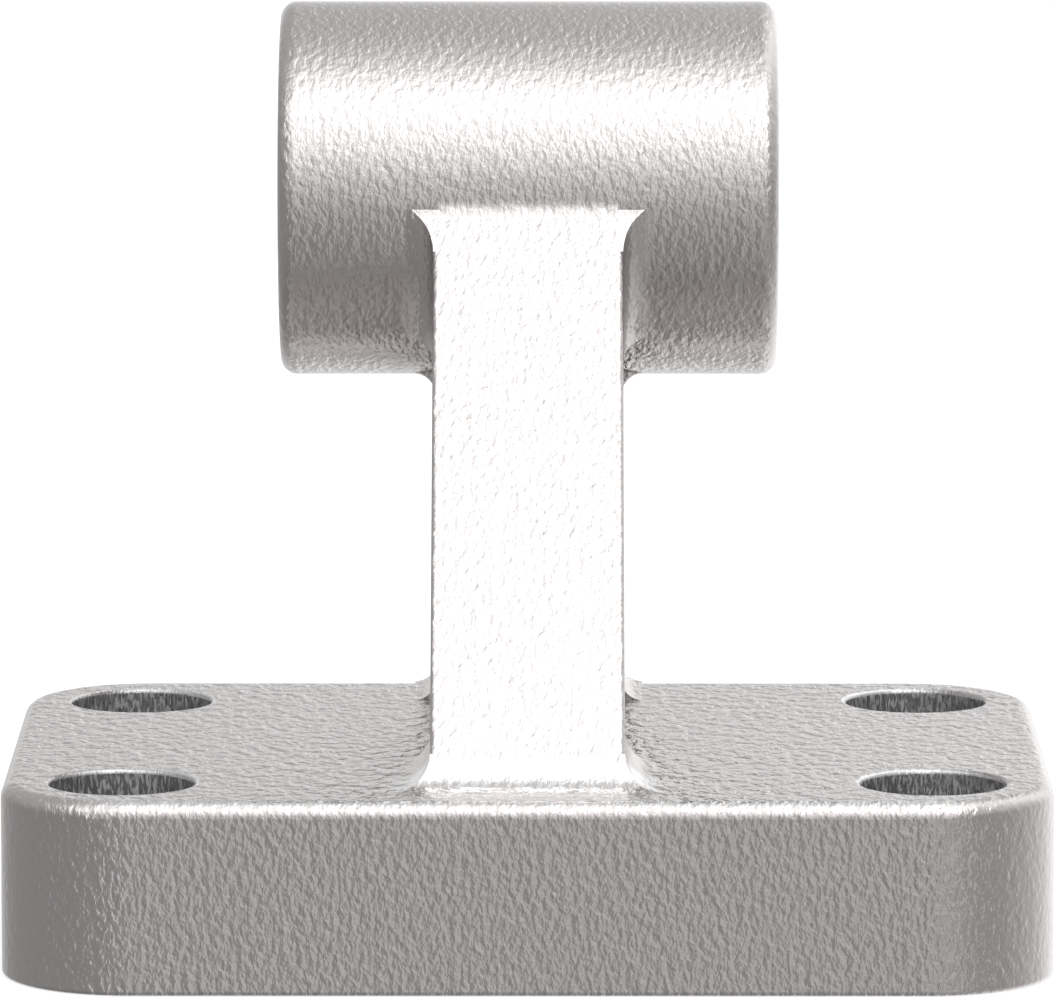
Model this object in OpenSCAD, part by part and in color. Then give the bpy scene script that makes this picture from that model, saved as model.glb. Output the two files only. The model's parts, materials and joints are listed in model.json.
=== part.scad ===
// Clevis foot: a one-piece casting that carries a pivot pin above a screwed base.
// X runs along the pin, Y from front to back, Z up from the underside of the base.

/* [Mounting base] */
// Distance between the screw holes across the base
hole_pitch_w = 50; // [36:0.5:90]
// Distance between the front and the back row of screw holes
hole_pitch_d = 30; // [26:0.5:50]
// Diameter of the four screw holes
hole_dia = 9; // [5:0.1:11]
// From the centre of a screw hole to the nearest edges
edge_margin = 7.5; // [6.8:0.1:12]
// Radius of the base's corners, seen from above
corner_r = 8; // [4:0.25:10]
// Thickness of the base
base_t = 12; // [8:0.5:16]
// Rounding of the top edge of the base
base_edge_r = 1; // [0.4:0.1:1.8]
// Rounding of the bottom edge of the base
sole_edge_r = 0.3; // [0.1:0.05:0.8]
// Rounding of the upper rims of the screw holes
rim_r = 0.3; // [0.1:0.05:0.8]

/* [Eye] */
// Height of the pin's axis above the underside of the base
axis_h = 45; // [40:0.5:56]
// From the front row of screw holes back to the pin's axis
axis_reach = 33; // [28:0.5:37]
// Outside diameter of the eye
eye_dia = 24; // [20:0.5:27]
// Width of the eye over its end faces
eye_w = 31.8; // [24:0.1:45]
// Diameter of the bore for the pin
pin_bore = 12; // [8:0.1:15]
// Chamfer at both ends of the bore
bore_chamfer = 0.5; // [0.2:0.1:1]
// Rounding of the eye's outer edges
eye_edge_r = 1; // [0.3:0.1:1.5]

/* [Column] */
// Thickness of the column from side to side
col_t = 12; // [9:0.5:18]
// From the front edge of the base back to the foot of the sloping face
foot_setback = 4.5; // [4:0.25:8]
// Thickness of the sloping front leg, square to its face
front_leg_t = 8; // [5:0.25:10]
// Thickness of the upright back leg
back_leg_t = 7.5; // [5:0.25:9]
// Thickness of the web between the two legs
web_t = 6; // [4:0.5:7]
// Radius of the fillets round the front leg and inside the pocket
fillet_r = 2; // [1:0.1:2.2]
// Radius of the fillets round the back leg
back_fillet_r = 1.4; // [0.8:0.1:2]
// Rounding of the column's long edges
col_edge_r = 0.3; // [0.1:0.05:0.6]

/* [Hidden] */
$fn = 96;

// How far a tool reaches past the surface that it cuts, and a solid into its neighbour
over = 1;
colour = "#b9b5b1";

base_w = hole_pitch_w + 2 * edge_margin;
base_d = hole_pitch_d + 2 * edge_margin;
eye_r = eye_dia / 2;

// Points of the side view are [y, z]
axis = [axis_reach - hole_pitch_d / 2, axis_h];
front_foot = [foot_setback - base_d / 2, base_t];
front_top = axis - [eye_r, 0];
back_y = base_d / 2;

// The front face runs from its foot to the foremost line of the eye
front_dir = (front_top - front_foot) / norm(front_top - front_foot);
front_out = [-front_dir.y, front_dir.x];
up = [0, 1];

// Where the line from p along dir reaches height z
function at_height(p, dir, z) = p + dir * ((z - p.y) / dir.y);

// Where the line from p along dir first meets the circle of radius r about the axis
function at_circle(p, dir, r) =
    let (b = dir * (p - axis), c = (p - axis) * (p - axis) - r * r)
    p + dir * (-b - sqrt(b * b - c));

// Centres of the fillets at the foot of the sloping face, under the eye and behind the column
foot_centre = at_height(front_foot + front_out * fillet_r, front_dir, base_t + fillet_r);
throat_centre = at_circle(front_foot + front_out * fillet_r, front_dir, eye_r + fillet_r);
nape_centre = at_circle([back_y + back_fillet_r, base_t], up, eye_r + back_fillet_r);

// Points on the edges of the pocket's floor, where its fillets end
floor_front = front_foot - front_out * (front_leg_t + fillet_r);
floor_back = [back_y - back_leg_t - fillet_r, base_t];
floor_low = [0, base_t + fillet_r];

// The pocket's cutter reaches out past the side fillets
pocket_reach = (col_t - web_t) / 2 + fillet_r + over;

// Turns a side view drawn in [y, z] into a solid w thick and centred on X = 0
module side_view(w) {
    rotate([90, 0, 90])
        linear_extrude(w, center = true)
            children();
}

// Turns a section drawn in [distance from the pin's axis, x] about that axis
module about_axis() {
    translate([0, axis.x, axis.y])
        rotate([90, 0, 90])
            rotate_extrude()
                children();
}

// Rectangle in [x, z] with both top and both bottom corners rounded
module plate_section(w) {
    difference() {
        translate([-w / 2, 0])
            square([w, base_t]);
        for (side = [-1, 1]) {
            corner_waste(side * w / 2, base_t, -side, -1, base_edge_r);
            corner_waste(side * w / 2, 0, -side, 1, sole_edge_r);
        }
    }
}

// What a rounding of radius r takes off a corner at [x, y]; sx and sy point into the solid
module corner_waste(x, y, sx, sy, r) {
    translate([x, y])
        scale([sx, sy])
            difference() {
                translate([-over, -over])
                    square(r + over);
                translate([r, r])
                    circle(r);
            }
}

// One rounded corner of the base
module corner_post() {
    rotate_extrude()
        difference() {
            square([corner_r, base_t]);
            corner_waste(corner_r, base_t, -1, -1, base_edge_r);
            corner_waste(corner_r, 0, -1, 1, sole_edge_r);
        }
}

// Sets its children at the four corners of a rectangle w wide and d deep
module at_corners(w, d) {
    for (x = [-1, 1], y = [-1, 1])
        translate([x * w / 2, y * d / 2, 0])
            children();
}

module base() {
    inner_w = base_w - 2 * corner_r;
    inner_d = base_d - 2 * corner_r;
    rotate([90, 0, 0])
        linear_extrude(inner_d, center = true)
            plate_section(base_w);
    rotate([90, 0, 90])
        linear_extrude(inner_w, center = true)
            plate_section(base_d);
    at_corners(inner_w, inner_d)
        corner_post();
}

// Screw hole with a rounded upper rim
module screw_hole() {
    translate([0, 0, -over])
        cylinder(h = base_t + 2 * over, d = hole_dia);
    translate([0, 0, base_t - rim_r])
        rotate_extrude()
            difference() {
                square([hole_dia / 2 + rim_r, rim_r + over]);
                translate([hole_dia / 2 + rim_r, 0])
                    circle(rim_r);
            }
}

// The eye as a round bar with rounded ends
module eye() {
    about_axis()
        difference() {
            translate([0, -eye_w / 2])
                square([eye_r, eye_w]);
            for (side = [-1, 1])
                corner_waste(eye_r, side * eye_w / 2, -1, -side, eye_edge_r);
        }
}

module bore() {
    about_axis()
        translate([0, -eye_w / 2 - over])
            square([pin_bore / 2, eye_w + 2 * over]);
    for (side = [-1, 1])
        translate([side * eye_w / 2, axis.x, axis.y])
            rotate([0, -side * 90, 0])
                translate([0, 0, -over])
                    cylinder(h = bore_chamfer + over, r1 = pin_bore / 2 + bore_chamfer + over, r2 = pin_bore / 2);
}

// Side view of the column, with the fillets at its foot and under the eye
module column_outline() {
    difference() {
        polygon([
            [foot_centre.x, base_t - over],
            foot_centre,
            foot_centre - front_out * fillet_r,
            throat_centre - front_out * fillet_r,
            throat_centre,
            axis,
            nape_centre,
            nape_centre - [back_fillet_r, 0],
            [back_y, base_t - over],
        ]);
        for (centre = [foot_centre, throat_centre])
            translate(centre)
                circle(fillet_r);
        translate(nape_centre)
            circle(back_fillet_r);
    }
}

// The column's plain thickness, with its long edges rounded
module column_slab() {
    difference() {
        side_view(col_t)
            column_outline();
        for (side = [-1, 1]) {
            long_edge_waste(side, front_foot, front_dir, front_out);
            long_edge_waste(side, [back_y, base_t], up, [1, 0]);
        }
    }
}

// What the rounding takes off a long edge; the edge runs from foot along dir
module long_edge_waste(side, foot, dir, out) {
    turn = [[0, out.x, dir.x], [0, out.y, dir.y]];
    multmatrix([
        [side, 0, 0, side * col_t / 2],
        [0, turn[0][1], turn[0][2], foot.x],
        [0, turn[1][1], turn[1][2], foot.y],
        [0, 0, 0, 1],
    ])
        linear_extrude(norm(axis - foot))
            corner_waste(0, 0, -1, -1, col_edge_r);
}

// Concave flares of radius r that the column's sides take towards the base and towards the eye
module side_flares(r) {
    half = col_t / 2 + r;
    rotate([90, 0, 0])
        linear_extrude(2 * base_d, center = true)
            difference() {
                translate([-half, base_t - over])
                    square([2 * half, r + over]);
                for (side = [-1, 1])
                    translate([side * half, base_t + r])
                        circle(r);
            }
    about_axis()
        difference() {
            translate([eye_r - over, -half])
                square([r + over, 2 * half]);
            for (side = [-1, 1])
                translate([eye_r + r, side * half])
                    circle(r);
        }
}

// The stretch of the column from y = from to y = to, widened by flares of radius r
module flared_leg(from, to, r) {
    intersection() {
        side_view(col_t + 2 * r)
            intersection() {
                column_outline();
                translate([from, 0])
                    square([to - from, axis_h]);
            }
        side_flares(r);
    }
}

// Section of the pocket along one wall: [distance past the floor's edge, height above the floor]
module pocket_section() {
    translate([-axis_h, 0])
        square([axis_h, pocket_reach]);
    translate([0, fillet_r])
        circle(fillet_r);
    translate([-fillet_r, fillet_r])
        square([2 * fillet_r, pocket_reach - fillet_r]);
}

// All that lies inside one straight wall, whose floor edge passes through p along dir
module inside_wall(p, dir) {
    multmatrix([
        [0, 1, 0, 0],
        [dir.y, 0, dir.x, p.x],
        [-dir.x, 0, dir.y, p.y],
        [0, 0, 0, 1],
    ])
        linear_extrude(4 * axis_h, center = true)
            pocket_section();
}

// Cutter of the pocket on the +X side of the web
module pocket() {
    translate([web_t / 2, 0, 0])
        intersection() {
            inside_wall(floor_low, [1, 0]);
            inside_wall(floor_back, up);
            inside_wall(floor_front, -front_dir);
            about_axis()
                translate([eye_r + fillet_r, 0])
                    mirror([1, 0])
                        pocket_section();
        }
}

module column() {
    difference() {
        union() {
            column_slab();
            flared_leg(-base_d, floor_back.x, fillet_r);
            flared_leg(floor_back.x, base_d, back_fillet_r);
        }
        pocket();
        mirror([1, 0, 0])
            pocket();
    }
}

module clevis_foot() {
    color(colour)
        difference() {
            union() {
                base();
                column();
                eye();
            }
            bore();
            at_corners(hole_pitch_w, hole_pitch_d)
                screw_hole();
        }
}

clevis_foot();
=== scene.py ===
# %% [markdown]
# # A cast clevis foot on a white sweep
#
# The object is one steel casting: a base with four screw holes, a leaning column and a round
# eye for a pivot pin. Its shape is settled and comes in as a fixed frame, so this lesson is
# about everything else: the camera, the light and the skin of the metal.
#
# A smooth grey metal looks like plastic until its surroundings and its skin are right. So the
# light comes first, because a metal shows nothing but its surroundings, and the finish second.

# %% The frame
import json
import math

import bpy
from mathutils import Matrix, Vector


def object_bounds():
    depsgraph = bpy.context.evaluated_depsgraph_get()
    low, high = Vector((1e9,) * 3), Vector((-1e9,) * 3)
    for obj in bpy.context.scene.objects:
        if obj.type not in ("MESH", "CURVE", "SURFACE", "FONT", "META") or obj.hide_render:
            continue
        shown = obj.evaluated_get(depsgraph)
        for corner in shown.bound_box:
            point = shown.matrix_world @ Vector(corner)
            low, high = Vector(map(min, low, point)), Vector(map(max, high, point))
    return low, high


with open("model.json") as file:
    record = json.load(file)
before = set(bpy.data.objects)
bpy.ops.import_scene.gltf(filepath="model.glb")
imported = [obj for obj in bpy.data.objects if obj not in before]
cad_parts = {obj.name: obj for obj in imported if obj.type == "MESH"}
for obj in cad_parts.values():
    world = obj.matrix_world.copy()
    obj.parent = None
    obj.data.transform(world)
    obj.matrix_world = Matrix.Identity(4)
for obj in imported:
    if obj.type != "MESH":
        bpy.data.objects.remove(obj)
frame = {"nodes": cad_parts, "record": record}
cad_low, cad_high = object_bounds()
MM = 0.001
foot = frame["nodes"]["clevis_foot"]
print("CAD box in mm:", [round(v / MM, 2) for v in (*cad_low, *cad_high)])

# %% [markdown]
# ## The camera
#
# The photograph is a product shot with a long lens: parallel edges hardly converge, and the
# camera looks down by less than nine degrees. Its angle, distance and lens were solved from the
# object's outline and its screw holes, whose pitch appears larger in the front row than in the
# back row. A camera that is built from those few numbers can be checked, while one that is
# placed by eye cannot.

# %% The camera
IMAGE_WIDTH, IMAGE_HEIGHT = 1056, 997
SENSOR_WIDTH = 36.0
FOCAL_PIXELS = 9811.6
# Where the lens's axis meets the picture
CENTRE_PIXEL = (527.98, 498.0)
AZIMUTH, ELEVATION = math.radians(0.118), math.radians(8.459)
CAMERA_DISTANCE = 617.24 * MM
AIM = Vector((0, 0, 27.448 * MM))
# Nearest and furthest distance that the camera sees, in metres
CLIP_START, CLIP_END = 0.01, 50


def direction(azimuth, elevation):
    """Unit vector from the object towards a viewer at that azimuth and elevation."""
    return Vector((math.sin(azimuth) * math.cos(elevation),
                   -math.cos(azimuth) * math.cos(elevation),
                   math.sin(elevation)))


def make_camera():
    """Camera with the photograph's place, aim and lens."""
    data = bpy.data.cameras.new("camera")
    data.sensor_width = SENSOR_WIDTH
    data.lens = FOCAL_PIXELS / IMAGE_WIDTH * SENSOR_WIDTH
    data.shift_x = (IMAGE_WIDTH / 2 - CENTRE_PIXEL[0]) / IMAGE_WIDTH
    data.shift_y = (CENTRE_PIXEL[1] - IMAGE_HEIGHT / 2) / IMAGE_WIDTH
    data.clip_start, data.clip_end = CLIP_START, CLIP_END
    camera = bpy.data.objects.new("camera", data)
    back = direction(AZIMUTH, ELEVATION)
    camera.matrix_world = (Matrix.Translation(AIM + back * CAMERA_DISTANCE)
                           @ back.to_track_quat("Z", "Y").to_matrix().to_4x4())
    bpy.context.scene.collection.objects.link(camera)
    bpy.context.scene.camera = camera
    return camera


camera = make_camera()
print("lens in mm:", round(camera.data.lens, 1))

# %% [markdown]
# ## Shader maths as expressions
#
# A shader tree is maths, and maths reads best as a formula. The class below wraps a node's
# socket so that `a * b + 1` adds the Math nodes by itself. The reflected forms are there so that
# `1 - mask` works too.

# %% A socket that takes part in formulas
class Value:
    """A number socket of a node tree, which takes part in Python expressions."""

    def __init__(self, tree, socket):
        self.tree, self.socket = tree, socket

    def maths(self, operation, *others):
        return self.tree.node("ShaderNodeMath", {"operation": operation}, (self, *others))

    def __add__(self, other):
        return self.maths("ADD", other)

    def __mul__(self, other):
        return self.maths("MULTIPLY", other)

    def __sub__(self, other):
        return self.maths("SUBTRACT", other)

    def __rsub__(self, other):
        return self.tree.node("ShaderNodeMath", {"operation": "SUBTRACT"}, (other, self))

    def __truediv__(self, other):
        return self.maths("DIVIDE", other)

    def __pow__(self, other):
        return self.maths("POWER", other)

    __radd__, __rmul__ = __add__, __mul__


# %% [markdown]
# ## Every other node
#
# What isn't arithmetic comes from one method that takes a node's type, its settings and its
# inputs. The short methods after it are the few nodes that this object needs: ramps, smooth
# steps, blends and vector maths. A step can rise or fall, and nearly every mask is one of them.

# %% A node tree under construction
class Tree:
    """A node tree under construction."""

    def __init__(self, nodes_of):
        nodes_of.use_nodes = True
        self.tree = nodes_of.node_tree
        self.tree.nodes.clear()

    def node(self, kind, settings=None, inputs=(), output=0):
        """Adds a node. Settings come first, then inputs by order or by name."""
        made = self.tree.nodes.new(kind)
        for name, value in (settings or {}).items():
            if name == "stops":
                self.set_stops(made.color_ramp, value)
            else:
                setattr(made, name, value)
        pairs = inputs.items() if isinstance(inputs, dict) else enumerate(inputs)
        for key, value in pairs:
            if isinstance(value, Value):
                self.tree.links.new(value.socket, made.inputs[key])
            else:
                made.inputs[key].default_value = value
        return Value(self, made.outputs[output]) if made.outputs else made

    @staticmethod
    def set_stops(ramp, stops):
        """Gives a ramp its stops, each a place and a grey."""
        while len(ramp.elements) > 1:
            ramp.elements.remove(ramp.elements[-1])
        for index, (place, grey) in enumerate(stops):
            stop = ramp.elements[0] if index == 0 else ramp.elements.new(place)
            stop.position = place
            stop.color = (grey, grey, grey, 1)

    def smooth_ramp(self, value, stops):
        """A ramp from a number to a grey, with no kinks at its stops."""
        made = self.node("ShaderNodeValToRGB", {"stops": stops}, (value,))
        made.socket.node.color_ramp.interpolation = "B_SPLINE"
        return made

    def rises(self, value, low, high):
        """0 below low, 1 above high and smooth between them."""
        return self.node("ShaderNodeMapRange", {"interpolation_type": "SMOOTHSTEP"},
                         (value, low, high, 0.0, 1.0))

    def falls(self, value, low, high):
        """1 below low, 0 above high and smooth between them."""
        return 1 - self.rises(value, low, high)

    # A Mix node has its own sockets for each kind of data, so they are picked by number
    def blend(self, factor, one, two):
        """A number between two numbers: one where factor is 0, two where it is 1."""
        return self.node("ShaderNodeMix", {"data_type": "FLOAT"}, {0: factor, 2: one, 3: two})

    def mix(self, factor, one, two):
        """A colour between two colours."""
        return self.node("ShaderNodeMix", {"data_type": "RGBA"},
                         {0: factor, 6: one, 7: two}, output=2)

    def vector(self, operation, *vectors):
        """Vector maths."""
        return self.node("ShaderNodeVectorMath", {"operation": operation}, vectors)

    def scaled(self, vector, share):
        """A vector times a number."""
        return self.node("ShaderNodeVectorMath", {"operation": "SCALE"}, {0: vector, 3: share})

    def outputs(self, kind, inputs=()):
        """All outputs of a new node, by name."""
        made = self.node(kind, inputs=inputs).socket.node
        return {socket.name: Value(self, socket) for socket in made.outputs}

    def coordinates(self, name):
        """One kind of texture coordinate."""
        return self.outputs("ShaderNodeTexCoord")[name]

    def axes(self, vector):
        """The three numbers of a vector."""
        parts = self.outputs("ShaderNodeSeparateXYZ", (vector,))
        return parts["X"], parts["Y"], parts["Z"]


# %% [markdown]
# ## The light tent
#
# The foot stands in a white tent under one large soft light that hangs above and in front of
# it. A metal needs no lamp for this, because it shows nothing but what it mirrors. So the
# world is that tent, written as brightness against direction: the cloth once over the top, the
# cloth once round each side, and the lamp's soft glow. A lamp object would give a sharp spot on
# each bump of the skin, while a world without hard edges renders clean in a few samples.
#
# The lamp is only in what the metal mirrors directly. Where the metal mirrors itself, as between
# the eye and the base, a second list of levels answers, darker in front and brighter behind. All
# the levels were set by comparing the render with the photograph, so they are a fit to its look
# and not the plan of a real room.

# %% The tent's cloth and lamp
# Angles in degrees that the lists of levels span
ALL_ROUND, HALF_ROUND = (-180, 180), (0, 180)
# Brightness of the cloth over the top, against the angle above the horizon in front
OVER_THE_TOP = [
    (-180, 1.00), (-152, 0.86), (-137, 0.71), (-127, 0.56), (-110, 0.40), (-97, 0.31),
    (-57, 0.32), (-40, 0.31), (-25, 0.35), (-10, 0.435), (5, 0.53), (90, 0.55),
    (119, 0.58), (134, 0.60), (150, 0.58), (160, 0.61), (168, 0.70), (174, 0.94), (180, 1.20),
]
# Brightness of the cloth round the sides, against the angle from straight in front
ROUND_THE_LEFT = [
    (0, 0.45), (30, 0.44), (50, 0.34), (77, 0.28), (116, 0.31), (140, 0.45), (170, 0.85),
]
ROUND_THE_RIGHT = [
    (0, 0.43), (28, 0.29), (46, 0.28), (70, 0.35), (100, 0.53), (120, 0.63), (150, 0.85),
]
# Over which x of a direction the left list passes into the right one
LEFT_TO_RIGHT = (-0.1, 0.1)
# Where the cloth turns into a side, and how much its sides brighten upwards
SIDE_TURN = (0.15, 0.65)
SIDE_LIFT = 0.40
# How much brighter the tent is to the camera's right, and how much darker to its left
SLANT = 0.32
# Brings the top of x * (1 - x * x) ** 2 to 1
SWING_TOP = 3.5
# Glow of the lamp over the same angle as the first list, and how far it reaches sideways
LAMP = [
    (-12, 0.0), (5, 0.11), (20, 0.42), (35, 0.86), (51, 1.22), (60, 1.50), (68, 1.30),
    (79, 0.64), (90, 0.34), (100, 0.16), (110, 0.05), (122, 0.0),
]
LAMP_EDGE, LAMP_END = 0.48, 0.86
# How much nearer the middle the lamp's right end is than its left end
LAMP_SHIFT = 0.24
# What a mirror image within a mirror image shows over the same angle, and how much of the sides
DEEPER = [
    (-180, 0.80), (-90, 0.30), (0, 0.38), (30, 0.38), (60, 0.36), (74, 0.34), (86, 0.48),
    (96, 1.20), (108, 1.75), (128, 1.75), (142, 1.20), (160, 0.90), (180, 0.80),
]
DEEPER_SIDE = 0.95
# How often a ray may be mirrored and still see the tent itself: once, with a margin
MIRRORED_ONCE = 1.5
WHITE = (1, 1, 1, 1)


def angle_ramp(tree, turn, levels, span):
    """Brightness against an angle: turn runs from 0 to 1 while the levels' angles run over span."""
    low, high = span
    top = max(level for _, level in levels)
    stops = [((angle - low) / (high - low), level / top) for angle, level in levels]
    return tree.smooth_ramp(turn, stops) * top


def light_the_tent():
    """World that is seen as white and that the metal mirrors as the tent."""
    world = bpy.data.worlds.new("tent")
    bpy.context.scene.world = world
    tree = Tree(world)
    x, y, z = tree.axes(tree.coordinates("Generated"))
    rays = tree.outputs("ShaderNodeLightPath")
    forward = y * -1.0
    aside = x.maths("ABSOLUTE")
    upwards = z.maths("ARCTAN2", forward) / math.tau + 0.5
    around = aside.maths("ARCTAN2", forward) / math.pi

    over = angle_ramp(tree, upwards, OVER_THE_TOP, ALL_ROUND)
    left = angle_ramp(tree, around, ROUND_THE_LEFT, HALF_ROUND)
    right = angle_ramp(tree, around, ROUND_THE_RIGHT, HALF_ROUND)
    side = tree.blend(tree.rises(x, *LEFT_TO_RIGHT), left, right)
    side = side + z.maths("MAXIMUM", 0.0) * SIDE_LIFT
    turned = tree.rises(aside, *SIDE_TURN)
    cloth = tree.blend(turned, over, side)
    deeper = angle_ramp(tree, upwards, DEEPER, ALL_ROUND)
    deeper = tree.blend(turned, deeper, side * DEEPER_SIDE)

    along = aside + tree.rises(x, 0.0, LAMP_EDGE) * LAMP_SHIFT
    lamp = angle_ramp(tree, upwards, LAMP, ALL_ROUND) * tree.falls(along, LAMP_EDGE, LAMP_END)
    swing = x * (1 - x * x) * (1 - x * x) * SWING_TOP
    direct = rays["Glossy Depth"].maths("LESS_THAN", MIRRORED_ONCE)
    mirrored = tree.blend(direct, deeper, (cloth + lamp) * (swing * SLANT + 1.0))
    plain = rays["Is Camera Ray"].maths("MAXIMUM", rays["Is Diffuse Ray"])
    level = tree.blend(plain, mirrored, 1.0)
    shade = tree.node("ShaderNodeBackground", inputs={"Strength": level, "Color": WHITE})
    tree.node("ShaderNodeOutputWorld", inputs={"Surface": shade})


light_the_tent()
bpy.context.scene.view_settings.view_transform = "Standard"
print("brightest cloth and lamp:", max(v for _, v in OVER_THE_TOP), max(v for _, v in LAMP))

# %% [markdown]
# ## The floor
#
# The photograph is cut out on pure white. A floor of white cloth lit by the tent does the same
# and keeps the foot's soft shadow. Part of its white is glow and part is cloth, because the
# share of cloth is what sets the depth of the shadow.

# %% The floor
# Width and depth of the floor in metres
FLOOR_SIZE = 12.0
FLOOR_CLOTH, FLOOR_GLOW = 0.50, 0.65


def lay_the_floor():
    """White floor that fills the picture and keeps a soft shadow under the foot."""
    half = FLOOR_SIZE / 2
    mesh = bpy.data.meshes.new("floor")
    corners = [(-half, -half, 0), (half, -half, 0), (half, half, 0), (-half, half, 0)]
    mesh.from_pydata(corners, [], [(0, 1, 2, 3)])
    floor = bpy.data.objects.new("floor", mesh)
    bpy.context.scene.collection.objects.link(floor)
    material = bpy.data.materials.new("white_floor")
    tree = Tree(material)
    cloth = tree.node("ShaderNodeBsdfDiffuse",
                      inputs={"Color": (FLOOR_CLOTH, FLOOR_CLOTH, FLOOR_CLOTH, 1)})
    glow = tree.node("ShaderNodeEmission", inputs={"Color": WHITE, "Strength": FLOOR_GLOW})
    both = tree.node("ShaderNodeAddShader", inputs=(cloth, glow))
    tree.node("ShaderNodeOutputMaterial", inputs={"Surface": both})
    mesh.materials.append(material)
    floor.visible_glossy = False


lay_the_floor()
print("floor in m:", FLOOR_SIZE, "share of cloth:", FLOOR_CLOTH)

# %% [markdown]
# ## Where each finish is
#
# One node of the frame is the whole casting, so its finishes can't be told apart by piece. They
# could be painted by hand on the mesh, but a mask worked out from sizes follows the shape by
# itself. The mounts in the frame's record give the bore, the eye's ends and the screw holes, and
# the frame's box gives the base's front and sides.
#
# On a foot like this the bore, the eye's ends and the underside would be machined after casting,
# so there the cast skin gives way to a tool's marks. Two more masks carry painted highlights, on
# places that the photograph shows nearly white: the fillet between the sloping face and the base,
# and the straight rounding of the base's long top edges.

# %% Sizes that place the finishes
mounts = {mount["name"]: mount for mount in frame["record"]["mounts"]}
pin, pattern = mounts["pin_bore"], mounts["screw_holes"]
PIN_Y, PIN_Z = pin["pos_m"][1:]
BORE_RADIUS = pin["dims"]["r_mm"] * MM
HOLE_X = pattern["dims"]["spacing_x_mm"] / 2 * MM
HOLE_Y = pattern["dims"]["spacing_y_mm"] / 2 * MM
HOLE_RADIUS = pattern["dims"]["hole_r_mm"] * MM
BASE_TOP = pattern["pos_m"][2]
BASE_FRONT = cad_low[1]
# The chamfers at the bore's ends, which the length in the record leaves out
BORE_CHAMFER = 0.5 * MM
EYE_END = pin["dims"]["length_mm"] / 2 * MM + BORE_CHAMFER
# Where the straight front of the base ends and its rounded corners start
CORNER_RADIUS = 8.0 * MM
CORNER_START = cad_high[0] - CORNER_RADIUS
print("bore, eye and screw holes in mm:", [round(v / MM, 2) for v in
                                           (BORE_RADIUS, EYE_END, HOLE_X, HOLE_Y, HOLE_RADIUS)])

# %% Masks of the finishes
# Spans over which the masks rise or fall, each from its low to its high end
HOLE_WALL = (HOLE_RADIUS + 0.10 * MM, HOLE_RADIUS + 0.26 * MM)
HOLE_MOUTH = (0.0, 0.2 * MM)
HOLE_WANDER = 0.2 * MM
BORE_WALL = (BORE_RADIUS + 0.1 * MM, BORE_RADIUS + 0.2 * MM)
END_FACE = (EYE_END - 0.06 * MM, EYE_END - 0.02 * MM)
END_REACH = (2 * BORE_RADIUS, 2.2 * BORE_RADIUS)
SOLE = (0.02 * MM, 0.06 * MM)
# The base's top: how level it is, and the height above it where its mask ends
LEVEL = (0.85, 0.98)
TOP_FADE = (0.1 * MM, 0.3 * MM)
# The fillet at the column's foot, which gets a painted highlight: its start and end behind the
# base's front, its half width and its height above the base
FILLET_FROM, FILLET_TO = (3.3 * MM, 4.3 * MM), (7.5 * MM, 9.5 * MM)
FILLET_ASIDE = (7.0 * MM, 9.5 * MM)
FILLET_ABOVE = (0.8 * MM, 2.0 * MM)
# The rounding of the base's top edge, which gets a painted highlight: its heights, how much it
# looks up, and its ends
EDGE_FROM, EDGE_TO = (-1.1 * MM, -0.7 * MM), (0.0, 0.02 * MM)
EDGE_STEEP, EDGE_LEVEL = (0.60, 0.78), (0.990, 0.998)
EDGE_END = (CORNER_START, CORNER_START + CORNER_RADIUS / 2)


def distance(one, two):
    """Distance from an axis, from the two offsets across it."""
    return (one * one + two * two) ** 0.5


class Places:
    """Masks that are 1 in one region of the casting and 0 elsewhere."""

    def __init__(self, tree):
        self.tree = tree
        self.x, self.y, self.z = tree.axes(tree.coordinates("Object"))
        self.flat = tree.outputs("ShaderNodeNewGeometry")["Normal"]
        self.up = tree.axes(self.flat)[2]
        self.aside = self.x.maths("ABSOLUTE")
        self.above = self.z - BASE_TOP
        self.behind = self.y - BASE_FRONT
        self.from_pin = distance(self.y - PIN_Y, self.z - PIN_Z)

    def holes(self, ragged):
        """Walls of the four screw holes. Their upper edge wanders with ragged."""
        away = distance(self.aside - HOLE_X, self.y.maths("ABSOLUTE") - HOLE_Y)
        away = away + ragged * HOLE_WANDER
        return self.tree.falls(away, *HOLE_WALL) * self.tree.falls(self.above, *HOLE_MOUTH)

    def bore(self):
        return self.tree.falls(self.from_pin, *BORE_WALL)

    def ends(self):
        near = self.tree.falls(self.from_pin, *END_REACH)
        return self.tree.rises(self.aside, *END_FACE) * near

    def underside(self):
        return self.tree.falls(self.z, *SOLE)

    def base_top(self):
        return self.tree.rises(self.up, *LEVEL) * self.tree.falls(self.above, *TOP_FADE)

    def column_foot(self):
        """The fillet between the sloping face and the base, where a painted highlight goes."""
        started = self.tree.rises(self.behind, *FILLET_FROM)
        within = self.tree.falls(self.aside, *FILLET_ASIDE)
        low = self.tree.falls(self.above, *FILLET_ABOVE)
        return started * within * low * self.tree.falls(self.behind, *FILLET_TO)

    def top_edge(self):
        """The rounding of the base's long top edges, without the corners, for a painted highlight.
        """
        high = self.tree.rises(self.above, *EDGE_FROM) * self.tree.falls(self.above, *EDGE_TO)
        rounded = self.tree.rises(self.up, *EDGE_STEEP) * self.tree.falls(self.up, *EDGE_LEVEL)
        return rounded * high * self.tree.falls(self.aside, *EDGE_END)
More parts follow.
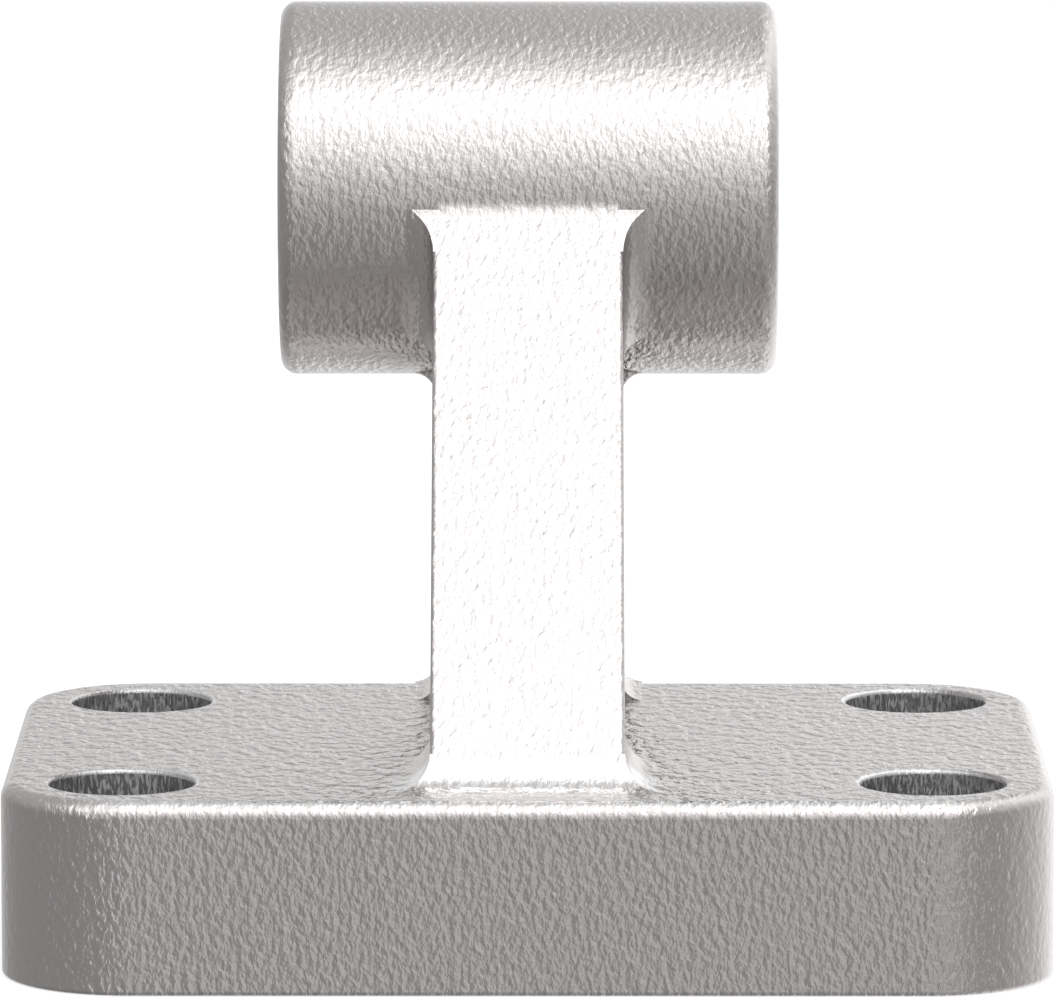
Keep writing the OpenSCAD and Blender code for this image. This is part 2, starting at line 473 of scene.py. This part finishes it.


# %% [markdown]
# ## The skin of the casting
#
# An investment casting copies the wax and the ceramic shell that it was poured in. Its skin is
# neither brushed nor smooth: it is covered with short wrinkles, about a fifth of a millimetre
# wide and half as long again. They are finer than any mesh should be, so they are bump. Plain
# noise would give round pimples, while noise that is squeezed along the pin's direction gives
# strokes.
#
# The wrinkles are tuned to the photograph. Their flanks are steeper along the pin's direction,
# they are deeper on the faces that look up and on the eye's lowest part, and their flanks
# towards +X carry a painted highlight in the colour, weaker on faces that look down. The base's
# top is seen at a grazing angle, where only broader waves show, so it has some of those as well.
# The walls of the screw holes carry upright streaks, and the machined places the even marks of a
# tool's feed.
#
# Each bump is worked out as the lean that it gives to the flat normal. A lean is a plain vector,
# so it can be masked, made steeper along one direction and added to the others.

# %% Sizes and colours of the skin
# The finer layers that all noise has, how strong they are, and how far noise is twisted
NOISE_DETAIL, NOISE_ROUGHNESS, NOISE_WANDER = 2.0, 0.5, 0.15
WRINKLE_SCALE, WRINKLE_SQUEEZE, WRINKLE_DEPTH = 1650.0, (1.45, 1.0, 1.0), 0.050 * MM
# How much steeper the wrinkles' flanks are along the pin's direction, on upright faces and above
CROSS_GAIN, CROSS_GAIN_ABOVE = 3.7, 1.8
# How much deeper the wrinkles are on faces that look up, and on the eye's lowest part
GAIN_ABOVE, GAIN_BELOW = 0.5, 1.3
LOOKS_UP, LOOKS_DOWN = (0.20, 0.55), (-0.97, -0.70)
# Painted highlight on the flanks towards +X: how bright it is, over which leans it sets in, and
# what is left of it on faces that look down
FLANK_SHARE, FLANK_LEAN = 0.95, (0.06, 0.46)
FLANK_LEFT, FLANK_FADE = 0.3, (-0.6, 0.0)
# The base top's broad waves
WAVE_SCALE, WAVE_STRETCH, WAVE_DEPTH = 1350.0, (1.0, 0.6, 1.0), 0.42 * MM
# The streaks in the screw holes, and the heights of noise between which their crests turn dull
STREAK_SCALE, STREAK_STRETCH, STREAK_DEPTH = 6000.0, (1.0, 1.0, 0.25), 0.06 * MM
STREAK_WANDER = 0.5
STREAK_CREST = (0.46, 0.70)
# The machined faces' feed marks
FEED, FEED_DEPTH = 0.22 * MM, 0.0012 * MM
# Colours: the steel, the machined steel, the near-white painted highlight and the holes' steel
STEEL, MACHINED_STEEL = (0.69, 0.662, 0.654, 1), (0.76, 0.74, 0.73, 1)
PAINTED_HIGHLIGHT_STEEL, HOLE_STEEL = (0.98, 0.97, 0.965, 1), (0.68, 0.68, 0.68, 1)
SKIN_ROUGHNESS, MACHINED_ROUGHNESS, STREAK_ROUGHNESS = 0.22, 0.27, 0.80
print("half a cell of the wrinkles' noise in mm:",
      [round(0.5 / (WRINKLE_SCALE * squeeze) / MM, 2) for squeeze in WRINKLE_SQUEEZE])


# %% The casting's skin
class Skin:
    """The skin's bumps, colour and roughness. A bump is the lean that it gives to the normal."""

    def __init__(self, tree):
        self.tree = tree
        self.places = Places(tree)
        self.point = tree.coordinates("Object")
        self.streaks = self.noise(STREAK_STRETCH, STREAK_SCALE, STREAK_WANDER)
        self.holes = self.places.holes(self.streaks)
        self.bore, self.ends = self.places.bore(), self.places.ends()
        self.machined = self.bore.maths("MAXIMUM", self.ends)
        self.machined = self.machined.maths("MAXIMUM", self.places.underside())
        self.cast = (1 - self.machined) * (1 - self.holes)
        self.wrinkled = self.wrinkles()

    def noise(self, stretch, scale, wander=NOISE_WANDER):
        stretched = self.tree.vector("MULTIPLY", self.point, stretch)
        return self.tree.node("ShaderNodeTexNoise", inputs={
            "Vector": stretched, "Scale": scale, "Detail": NOISE_DETAIL,
            "Roughness": NOISE_ROUGHNESS, "Distortion": wander})

    def lean(self, height, depth, share):
        """How a height leans the normal, times a share."""
        bumped = self.tree.node("ShaderNodeBump", inputs={"Height": height, "Strength": 1.0,
                                                          "Distance": depth})
        return self.tree.scaled(self.tree.vector("SUBTRACT", bumped, self.places.flat), share)

    def wrinkles(self):
        """The short strokes all over the cast faces."""
        above = self.tree.rises(self.places.up, *LOOKS_UP)
        below = self.tree.falls(self.places.up, *LOOKS_DOWN)
        share = self.cast * (above * GAIN_ABOVE + below * GAIN_BELOW + 1.0)
        across = self.tree.blend(above, CROSS_GAIN, CROSS_GAIN_ABOVE)
        gain = self.tree.node("ShaderNodeCombineXYZ", inputs=(across, 1.0, 1.0))
        height = self.noise(WRINKLE_SQUEEZE, WRINKLE_SCALE)
        return self.tree.vector("MULTIPLY", self.lean(height, WRINKLE_DEPTH, share), gain)

    def waves(self):
        """The broader waves on the base's top."""
        share = self.places.base_top() * self.cast
        return self.lean(self.noise(WAVE_STRETCH, WAVE_SCALE), WAVE_DEPTH, share)

    def feed_marks(self):
        """Rings in the bore, circles on the eye's ends and straight lines underneath."""
        travel = self.tree.blend(self.ends, self.places.y, self.places.from_pin)
        travel = self.tree.blend(self.bore, travel, self.places.x)
        marks = (travel * (math.tau / FEED)).maths("SINE")
        return self.lean(marks, FEED_DEPTH, self.machined)

    def normal(self):
        """The flat normal with every lean added."""
        hole_streaks = self.lean(self.streaks, STREAK_DEPTH, self.holes)
        normal = self.places.flat
        for lean in (self.wrinkled, self.waves(), hole_streaks, self.feed_marks()):
            normal = self.tree.vector("ADD", normal, lean)
        return self.tree.vector("NORMALIZE", normal)

    def colour(self):
        """Steel with painted highlights, then the screw holes and machined places."""
        # Painted highlights: the flanks towards +X, less on faces that look down, and two edges
        painted_flank_highlight = self.tree.rises(self.tree.axes(self.wrinkled)[0], *FLANK_LEAN) * FLANK_SHARE
        left = self.tree.rises(self.places.up, *FLANK_FADE) * (1 - FLANK_LEFT) + FLANK_LEFT
        edges = self.places.column_foot().maths("MAXIMUM", self.places.top_edge())
        bright = (painted_flank_highlight * left).maths("MAXIMUM", edges)
        colour = self.tree.mix(bright, STEEL, PAINTED_HIGHLIGHT_STEEL)
        colour = self.tree.mix(self.holes, colour, HOLE_STEEL)
        return self.tree.mix(self.machined, colour, MACHINED_STEEL)

    def roughness(self):
        """Satin all over, and dull on the crests of the streaks."""
        crests = self.holes * self.tree.rises(self.streaks, *STREAK_CREST)
        satin = self.tree.blend(self.machined, SKIN_ROUGHNESS, MACHINED_ROUGHNESS)
        return self.tree.blend(crests, satin, STREAK_ROUGHNESS)


def cast_steel():
    """Bare cast stainless steel with its wrinkled skin."""
    material = bpy.data.materials.new("cast_steel")
    tree = Tree(material)
    skin = Skin(tree)
    steel = tree.node("ShaderNodeBsdfPrincipled", inputs={
        "Base Color": skin.colour(), "Metallic": 1.0,
        "Roughness": skin.roughness(), "Normal": skin.normal()})
    tree.node("ShaderNodeOutputMaterial", inputs={"Surface": steel})
    return material


steel = cast_steel()
foot.data.materials.clear()
foot.data.materials.append(steel)
print("nodes in the steel:", len(steel.node_tree.nodes))
